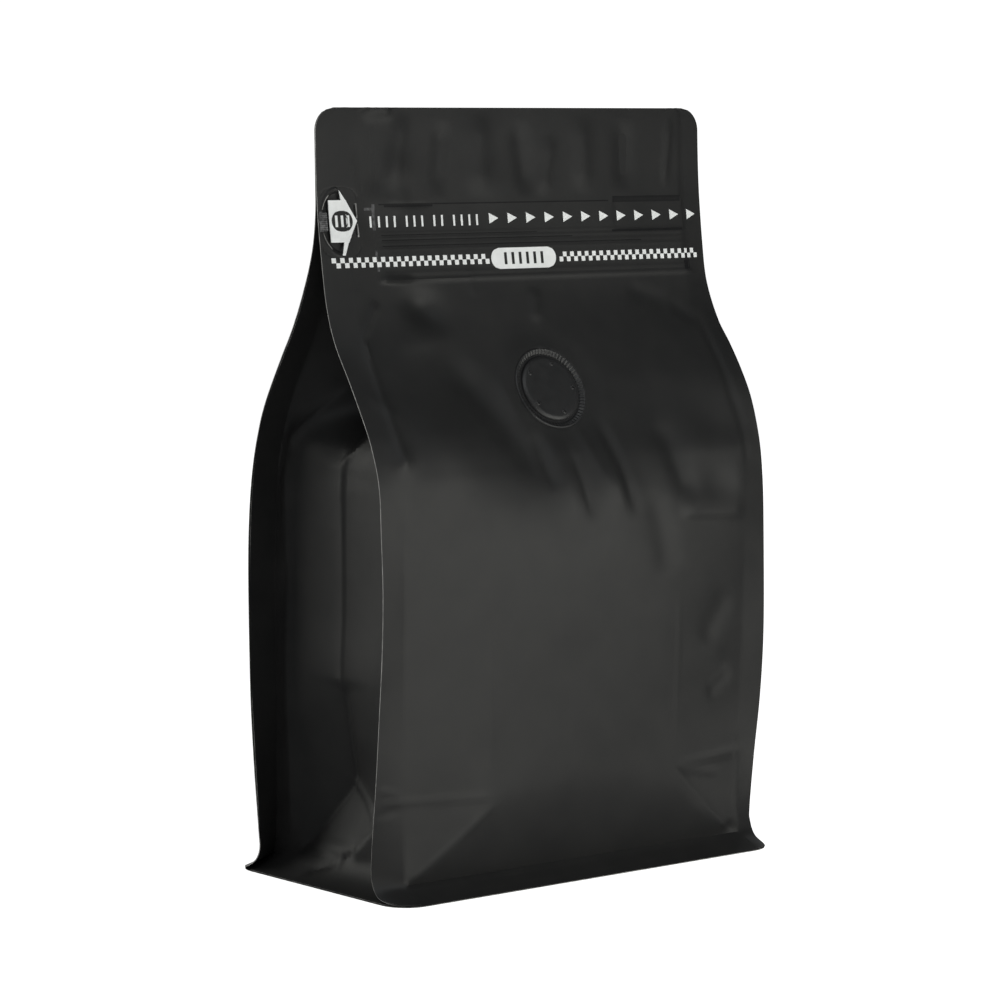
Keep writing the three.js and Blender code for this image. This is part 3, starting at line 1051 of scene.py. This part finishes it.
# ---- Pressed lines ------------------------------------------------------------------------------------
@dataclass
class PressedLines:
    """Header lines: dull pressed ones across it with painted shade, pale painted highlights along the left
    seam.
    """

    film: FrontFilm
    # pressed seal lines: a duller finish, coloured darker as painted groove shade
    dull_shaded: tuple[tuple[Spot, Spot], ...] = (
        ((45.8, 175.15), (25.4, 1.6)), ((44.7, 166.8), (25.2, 0.55)), ((-8.0, 174.8), (79.0, 0.34)),
        ((-36.5, 174.55), (16.0, 0.9)), ((58.4, 170.9), (0.7, 8.6)), ((57.9, 157.2), (2.2, 2.4)),
        ((-2.0, 164.2), (88.0, 0.26)), ((-14.0, 165.7), (64.0, 0.26)), ((-20.0, 167.0), (52.0, 0.22)),
    )
    # pale broken lines painted as highlight along the left seam, and a painted glint right of the tab
    pale_highlight: tuple[tuple[Spot, Spot], ...] = (
        ((-47.9, 171.6), (0.9, 6.6)), ((-48.0, 160.6), (0.8, 5.4)), ((-49.3, 173.7), (2.8, 0.7)),
    )
    face_length: float = 1.5
    lift: float = 0.03
    thickness: float = 0.04

    def build(self, finishes: Finishes) -> None:
        """Makes the dull, darker lines and the pale highlight lines."""
        for name, spots, finish in (
            ("dull_shaded_lines", self.dull_shaded, finishes.dull_shaded), ("painted_highlight_lines", self.pale_highlight, finishes.pale_highlight),
        ):
            mesh = bmesh.new()
            for centre, size in spots:
                segments = (max(round(max(size) / self.face_length), 4), 4)
                add_block(mesh, centre, size, segments if size[0] > size[1] else segments[::-1])
            drape(mesh, lambda x, z: self.film.face_y(x, z) - self.lift, self.thickness)
            make_piece(name, mesh, [finish], "pouch")


# ---- Valve --------------------------------------------------------------------------------------------
@dataclass
class Valve:
    """The one-way valve: a knurled rim, a groove and a flat disc with pinholes, all under pressed film."""

    form: PouchForm
    radius: float = 11.4
    knurls: int = 64
    steps_per_knurl: int = 4  # of which half are pressed in
    knurl_depth: float = 0.20
    knurl_band: Spot = (9.7, 10.85)
    pinholes: int = 5
    pinhole_circle: float = 7.1  # radius of the circle that they lie on
    pinhole_start: float = -2.0  # degrees, of the first of them from the valve's right
    pinhole_radius: float = 0.72
    pinhole_foot: float = 0.424  # height at its outline, just above the disc
    pinhole_rings: tuple[Spot, ...] = (
        (0.92, 0.425), (0.60, 0.60), (0.42, 0.44), (0.26, 0.0))  # share of the radius, height

    def profile(self) -> list[Spot]:
        """Radius and height of the section, from the middle to the back of the rim."""
        return [
            (0.0, 0.42), (4.0, 0.42), (7.5, 0.42), (7.95, 0.41), (8.2, 0.37), (8.5, 0.24), (8.8, 0.09),
            (8.95, -0.02), (9.04, -0.36), (9.14, -0.74), (9.32, -0.88), (9.5, -0.76), (9.64, -0.44),
            (9.78, -0.16), (10.1, 0.0), (10.45, 0.17), (10.75, 0.31), (10.93, 0.36), (11.08, 0.34),
            (11.24, 0.22), (self.radius, 0.0), (self.radius + 0.1, -0.5),
        ]

    def build(self, finishes: Finishes) -> None:
        """Makes the valve."""
        mesh = bmesh.new()
        verts = [mesh.verts.new((r, 0.0, h)) for r, h in self.profile()]
        edges = [mesh.edges.new((a, b)) for a, b in zip(verts, verts[1:])]
        step_count = self.steps_per_knurl * self.knurls
        bmesh.ops.spin(
            mesh, geom=verts + edges, cent=(0, 0, 0), axis=(0, 0, 1), angle=2 * math.pi,
            steps=step_count, use_merge=True)
        bmesh.ops.remove_doubles(mesh, verts=mesh.verts[:], dist=WELD)
        for vert in mesh.verts:
            r = math.hypot(vert.co.x, vert.co.y)
            if self.knurl_band[0] < r < self.knurl_band[1]:
                step = round(math.atan2(vert.co.y, vert.co.x) / math.pi * step_count / 2)
                if step % self.steps_per_knurl < self.steps_per_knurl / 2:
                    vert.co.z -= self.knurl_depth
        rim = [edge for edge in mesh.edges if edge.is_boundary]
        bmesh.ops.contextual_create(mesh, geom=rim)
        for i in range(self.pinholes):
            angle = math.radians(self.pinhole_start + 360.0 * i / self.pinholes)
            self.pinhole(mesh, self.pinhole_circle * math.cos(angle), self.pinhole_circle * math.sin(angle))
        bmesh.ops.recalc_face_normals(mesh, faces=mesh.faces[:])
        turn = Matrix.Rotation(math.pi / 2 - self.form.lean, 4, "X")
        place = Matrix.Translation((self.form.valve_spot[0], self.form.valve_y, self.form.valve_spot[1]))
        bmesh.ops.transform(mesh, matrix=place @ turn, verts=mesh.verts[:])
        make_piece("valve_face", mesh, [finishes.valve], "valve", 60.0)

    def pinhole(self, mesh: bmesh.types.BMesh, x: float, y: float) -> None:
        """Adds one pinhole to the disc: a low raised ring round a pit.

        Args:
            mesh: The valve, still lying flat.
            x: Place across the disc.
            y: Place up the disc.
        """
        size = self.pinhole_radius
        place = Matrix.Translation((x, y, self.pinhole_foot))
        made = bmesh.ops.create_circle(mesh, segments=14, radius=size, matrix=place)
        ring = list(dict.fromkeys(edge for vert in made["verts"] for edge in vert.link_edges))
        current = ring
        for share, height in self.pinhole_rings:
            grown = bmesh.ops.extrude_edge_only(mesh, edges=current)
            for vert in (item for item in grown["geom"] if isinstance(item, bmesh.types.BMVert)):
                dx, dy = vert.co.x - x, vert.co.y - y
                scale = size * share / math.hypot(dx, dy)
                vert.co = Vector((x + dx * scale, y + dy * scale, height))
            current = [item for item in grown["geom"] if isinstance(item, bmesh.types.BMEdge)]
        bmesh.ops.contextual_create(mesh, geom=current)
        bmesh.ops.contextual_create(mesh, geom=ring)


# ---- Pull tab -----------------------------------------------------------------------------------------
@dataclass
class PullTab:
    """The pull tab: a white strip with an arrow head over an oval cut, and a dark oval with plain bars."""

    film: FrontFilm
    centre: Spot = (-58.3, 170.8)
    strip: tuple[float, float, float] = (-3.6, 0.3, 5.3)  # left, right, half height
    barb: Spot = (-0.1, 8.2)
    barb_drop: float = 0.4  # both barbs sit this much lower than the strip's middle
    barb_end: Spot = (-0.5, 0.3)  # the lower barb's blunt end, from the barbs' line
    tip: float = 4.7
    lift: float = 0.34
    fold_x: float = 1.6  # right of this line the head stands a little higher
    fold_half: float = 0.12
    fold_rise: float = 0.16
    edge_step: Spot = (0.15, 0.26)  # half run and half height of the step in the slanting edges there
    oval: Spot = (6.3, 5.2)
    oval_x: float = 0.2
    oval_lift: float = 0.05
    bar_lift: float = 0.09
    ink: float = 0.04
    bars: int = 3
    bar: Spot = (0.75, 2.9)
    bar_pitch: float = 1.75
    hole_centre: Spot = (-0.2, -0.2)
    hole: Spot = (5.75, 8.3)
    hole_depth: float = 0.62
    lip: float = 0.20
    head_blend: Spot = (-0.9, -0.2)  # the cut fades out over this distance behind the arrow head's edge
    hole_blend: Spot = (0.86, 0.97)  # and over these shares of the oval's radii
    lip_ring: Spot = (1.03, 0.04)  # middle and half width of the lip, as shares of the oval's radii
    grip: Spot = (-3.9, 2.5)  # the ribbed grip: its right edge, half its height
    grip_blend: Spot = (0.2, 0.3)
    grip_rise: float = 0.14
    rib_pitch: float = 0.5
    rib_depth: float = 0.05
    slit_x: float = 5.05
    slits: tuple[Spot, Spot] = ((-4.1, -0.8), (0.7, 4.5))
    slit_half: float = 0.2
    slit_fade: float = 0.6
    slit_ridge: Spot = (0.30, 0.16)  # height, half width
    slit_groove: tuple[float, float, float] = (0.28, 0.45, 0.2)  # depth, distance left of it, half width
    cut_rim: Spot = (0.94, 0.985)  # the pale part of the oval cut's edge, as shares of its radii
    cut_right: float = -3.3  # which shows only left of this line
    cut_clear: float = 0.4  # and no nearer to the grip than this
    rim_sink: float = 0.05  # the surround's own rim sinks into the film by this
    well_segments: tuple[int, int] = (100, 150)
    surround: float = 0.1  # thickness of the die-cut surround

    def head_edge(self, q: float) -> float:
        """Distance from the tab's middle to the arrow head's slanting edge, at a height from it."""
        return self.tip * (1.0 - abs(q) / self.barb[1])

    def oval_share(self, p: float, q: float) -> float:
        """Distance from the oval cut's middle as a share of its radii, at a place from the tab's middle."""
        across, up = p - self.hole_centre[0], q - self.hole_centre[1]
        return math.hypot(across / self.hole[0], up / self.hole[1])

    def well_rise(self, x: float, z: float) -> float:
        """Height of the die-cut surround above the film.

        Args:
            x: Place across the front.
            z: Height.

        Returns:
            Millimetres outwards, negative in the cut.
        """
        p, q = x - self.centre[0], z - self.centre[1]
        out = self.oval_share(p, q)
        behind_head = 1.0 - smooth_step(p - self.head_edge(q), *self.head_blend)
        right, half = self.grip
        blend_x, blend_z = self.grip_blend
        grip = 1.0 - smooth_step(abs(q), half - blend_z, half + blend_z)
        grip *= 1.0 - smooth_step(p, right - blend_x, right + blend_x)
        cut = (1.0 - smooth_step(out, *self.hole_blend)) * behind_head * (1.0 - grip)
        lip = math.exp(-(((out - self.lip_ring[0]) / self.lip_ring[1]) ** 2)) * behind_head * (1.0 - grip)
        ribs = math.sin(2.0 * math.pi * q / self.rib_pitch) * self.rib_depth
        rise = self.lip * lip - self.hole_depth * cut + grip * (self.grip_rise + ribs)
        height, ridge_half = self.slit_ridge
        depth, shift, groove_half = self.slit_groove
        for low, high in self.slits:
            ends = smooth_step(q, low, low + self.slit_fade)
            ends *= 1.0 - smooth_step(q, high - self.slit_fade, high)
            rise += ends * height * math.exp(-(((p - self.slit_x) / ridge_half) ** 2))
            rise -= ends * depth * math.exp(-(((p - self.slit_x + shift) / groove_half) ** 2))
        return rise

    def is_grip(self, x: float, z: float) -> bool:
        """Whether a place of the surround lies on the ribbed grip, which is given a paler finish."""
        return x - self.centre[0] < self.grip[0] and abs(z - self.centre[1]) < self.grip[1]

    def is_cut(self, x: float, z: float) -> bool:
        """Whether a place of the surround lies on a cut edge, where the film's pale layers show."""
        p, q = x - self.centre[0], z - self.centre[1]
        on_rim = self.cut_rim[0] < self.oval_share(p, q) < self.cut_rim[1]
        clear = p < self.cut_right and abs(q) > self.grip[1] + self.cut_clear
        slit = abs(p - self.slit_x) < self.slit_half and any(low < q < high for low, high in self.slits)
        return (on_rim and clear) or slit

    def well(self, finishes: Finishes) -> None:
        """Makes the die-cut surround, with its oval cut, ribbed grip and slits."""
        spot, half = self.film.tab_spot, self.film.tab_half

        def place(across: float, up: float) -> Vector:
            """A grid point's place inside a rounded outline."""
            v = 2.0 * up - 1.0
            x = spot[0] + (2.0 * across - 1.0) * half[0] * (1.0 - min(v**4, 0.9999)) ** 0.25
            z = spot[1] + v * half[1]
            rim = (((x - spot[0]) / half[0]) ** 4 + v**4) ** 0.25
            y = self.film.face_y(x, z) - self.well_rise(x, z) + self.rim_sink * smooth_step(rim, 0.9, 1.0)
            return Vector((x, y, z))

        mesh = film_grid(*self.well_segments, place, False)
        for face in mesh.faces:
            middle = face.calc_center_median()
            if self.is_cut(middle.x, middle.z):
                face.material_index = 1
            # the ribbed grip is given the pale finish of the painted highlights
            elif self.is_grip(middle.x, middle.z):
                face.material_index = 2
        thicken(mesh, self.surround)
        materials = [finishes.film, finishes.edge, finishes.pale_highlight]
        make_piece("pull_tab_well", mesh, materials, "pouch")

    def plate_y(self, x: float, z: float) -> float:
        """y of the white plate's outer face."""
        fold = smooth_step(x - self.centre[0], self.fold_x - self.fold_half, self.fold_x + self.fold_half)
        return self.film.face_y(x, z) - self.lift - self.fold_rise * fold

    def plate(self, finishes: Finishes) -> None:
        """Makes the white strip with its arrow head."""
        mesh = bmesh.new()
        left, right, half = self.strip
        barb_x, barb_z = self.barb
        fold, drop = self.fold_x, self.barb_drop
        run, step = self.edge_step
        edge = barb_z * (1.0 - fold / self.tip)
        outline = [
            (left, -half), (right, -half),
            (barb_x + self.barb_end[0], -barb_z - drop), (barb_x + self.barb_end[1], -barb_z - drop),
            (fold - run, -edge - step), (fold + run, -edge + step), (self.tip, 0.0),
            (fold + run, edge - step), (fold - run, edge + step), (barb_x, barb_z - drop),
            (right, half), (left, half),
        ]
        verts = [mesh.verts.new((self.centre[0] + x, self.centre[1] + z, 0)) for x, z in outline]
        mesh.faces.new(verts)
        mesh.normal_update()
        bmesh.ops.triangulate(mesh, faces=mesh.faces[:])
        bmesh.ops.subdivide_edges(mesh, edges=mesh.edges[:], cuts=8, use_grid_fill=True)
        drape(mesh, self.plate_y, FILM)
        make_piece("pull_tab_print", mesh, [finishes.print], "pull_tab")

    def emblem(self, finishes: Finishes) -> None:
        """Makes the dark oval and its plain white bars."""
        middle = (self.centre[0] + self.oval_x, self.centre[1])
        dark = bmesh.new()
        add_pill(dark, middle, self.oval, (24, 20))
        drape(dark, lambda x, z: self.plate_y(x, z) - self.oval_lift, self.ink)
        light = bmesh.new()
        for i in range(self.bars):
            offset = (i - (self.bars - 1) / 2) * self.bar_pitch
            add_block(light, (middle[0] + offset, middle[1]), self.bar, (2, 4))
        drape(light, lambda x, z: self.plate_y(x, z) - self.bar_lift, self.ink)
        make_piece("pull_tab_oval", dark, [finishes.film], "pull_tab")
        make_piece("pull_tab_bars", light, [finishes.print], "pull_tab")

    def build(self, finishes: Finishes) -> None:
        """Makes all of the tab."""
        self.well(finishes)
        self.plate(finishes)
        self.emblem(finishes)


# ---- Studio -------------------------------------------------------------------------------------------
WARM: Colour = (1.0, 1.0, 0.94)
COOL: Colour = (0.95, 0.985, 1.0)


@dataclass(frozen=True)
class SoftBox:
    """One rectangular soft light, aimed at the bag."""

    name: str
    place: tuple[float, float, float]
    aim: tuple[float, float, float]
    size: Spot
    watts: float
    tint: Colour = (1.0, 1.0, 1.0)

    def build(self) -> None:
        """Makes the light."""
        data = bpy.data.lights.new(self.name, "AREA")
        data.shape = "RECTANGLE"
        data.size, data.size_y = self.size[0] * MM, self.size[1] * MM
        data.energy = self.watts
        data.color = self.tint
        lamp = bpy.data.objects.new(self.name, data)
        lamp.visible_camera = False
        bpy.context.scene.collection.objects.link(lamp)
        lamp.location = Vector(self.place) * MM
        away = Vector(self.place) - Vector(self.aim)
        lamp.rotation_euler = away.to_track_quat("Z", "Y").to_euler()


@dataclass
class Studio:
    """Pale floor, soft lights, a dim room behind a white backdrop, and the camera."""

    camera_place: tuple[float, float, float] = (-629.66, -759.12, 196.24)
    camera_yaw: float = 39.542  # degrees from +Y towards +X
    camera_pitch: float = 5.803  # degrees below level
    lens: float = 134.65
    sensor: float = 36.0
    floor_half: float = 3000.0
    room_strength: float = 0.058
    room_tint: Colour = (0.92, 0.96, 1.0)
    backdrop_strength: float = 1.1
    boxes: tuple[SoftBox, ...] = (
        SoftBox("front_card", (144.0, -290.0, 92.0), (0.0, -30.0, 92.0), (196.0, 154.0), 0.245, WARM),
        SoftBox("upper_card", (120.0, -290.0, 215.0), (0.0, -30.0, 100.0), (216.0, 90.0), 0.022, COOL),
        SoftBox("fin_card", (-30.0, -300.0, 36.0), (-60.0, -30.0, 36.0), (64.0, 110.0), 0.15, WARM),
        SoftBox("floor_card_left", (-50.0, -125.0, 3.0), (-50.0, -125.0, 90.0), (150.0, 70.0), 0.018, WARM),
        SoftBox("floor_card_right", (108.0, -62.0, 2.0), (108.0, -62.0, 90.0), (64.0, 44.0), 0.012, WARM),
        SoftBox("back_card", (-300.0, 450.0, 185.0), (-55.0, 0.0, 90.0), (280.0, 340.0), 0.56, WARM),
        SoftBox("overhead_left", (-700.0, -700.0, 1100.0), (0.0, 0.0, 90.0), (900.0, 700.0), 2.3, COOL),
        SoftBox("overhead_front", (0.0, -771.0, 1139.0), (0.0, 0.0, 110.0), (700.0, 700.0), 1.6, COOL),
        SoftBox("far_back", (700.0, 900.0, 500.0), (0.0, 0.0, 90.0), (900.0, 700.0), 1.5),
    )

    def camera(self) -> None:
        """Makes the camera and makes it the scene's."""
        data = bpy.data.cameras.new("camera")
        data.lens = self.lens
        data.sensor_width = self.sensor
        data.sensor_fit = "HORIZONTAL"
        data.clip_start, data.clip_end = 0.01, 20.0
        camera = bpy.data.objects.new("camera", data)
        bpy.context.scene.collection.objects.link(camera)
        yaw, pitch = math.radians(self.camera_yaw), math.radians(self.camera_pitch)
        level = math.cos(pitch)
        forward = Vector((math.sin(yaw) * level, math.cos(yaw) * level, -math.sin(pitch)))
        camera.location = Vector(self.camera_place) * MM
        camera.rotation_euler = (-forward).to_track_quat("Z", "Y").to_euler()
        bpy.context.scene.camera = camera

    def floor(self, finishes: Finishes) -> None:
        """Makes the floor."""
        mesh = bmesh.new()
        bmesh.ops.create_grid(mesh, x_segments=1, y_segments=1, size=self.floor_half * MM)
        data = bpy.data.meshes.new("floor")
        mesh.to_mesh(data)
        mesh.free()
        data.materials.append(finishes.floor)
        floor = bpy.data.objects.new("floor", data)
        bpy.context.scene.collection.objects.link(floor)
        floor.visible_glossy = False

    def world(self) -> None:
        """Surrounds the set with white for the camera and with a dim room for the light."""
        world = bpy.data.worlds.new("surround")
        world.use_nodes = True
        nodes, links = world.node_tree.nodes, world.node_tree.links
        room = nodes["Background"]
        room.inputs["Color"].default_value = (*self.room_tint, 1.0)
        room.inputs["Strength"].default_value = self.room_strength
        white = nodes.new("ShaderNodeBackground")
        white.inputs["Color"].default_value = (1.0, 1.0, 1.0, 1.0)
        white.inputs["Strength"].default_value = self.backdrop_strength
        rays = nodes.new("ShaderNodeLightPath")
        mix = nodes.new("ShaderNodeMixShader")
        links.new(rays.outputs["Is Camera Ray"], mix.inputs[0])
        links.new(room.outputs[0], mix.inputs[1])
        links.new(white.outputs[0], mix.inputs[2])
        links.new(mix.outputs[0], nodes["World Output"].inputs["Surface"])
        bpy.context.scene.world = world

    def build(self, finishes: Finishes) -> None:
        """Sets up the whole studio."""
        self.camera()
        self.floor(finishes)
        self.world()
        for box in self.boxes:
            box.build()
        bpy.context.scene.view_settings.view_transform = "Standard"


def main() -> None:
    """Builds the studio and the bag in it."""
    logging.basicConfig(level=logging.INFO, format="%(message)s")
    form = PouchForm()
    finishes = Finishes()
    Studio().build(finishes)
    front = FrontFilm(form)
    front.build(finishes)
    BackFilm(form).build(finishes)
    for side in (-1, 1):
        SideGusset(form, side, front.sunk_y).build(finishes)
    BasePanel(form).build(finishes)
    PressedLines(front).build(finishes)
    HeaderPrint(front).build(finishes)
    Valve(form).build(finishes)
    PullTab(front).build(finishes)


if __name__ == "__main__":
    main()
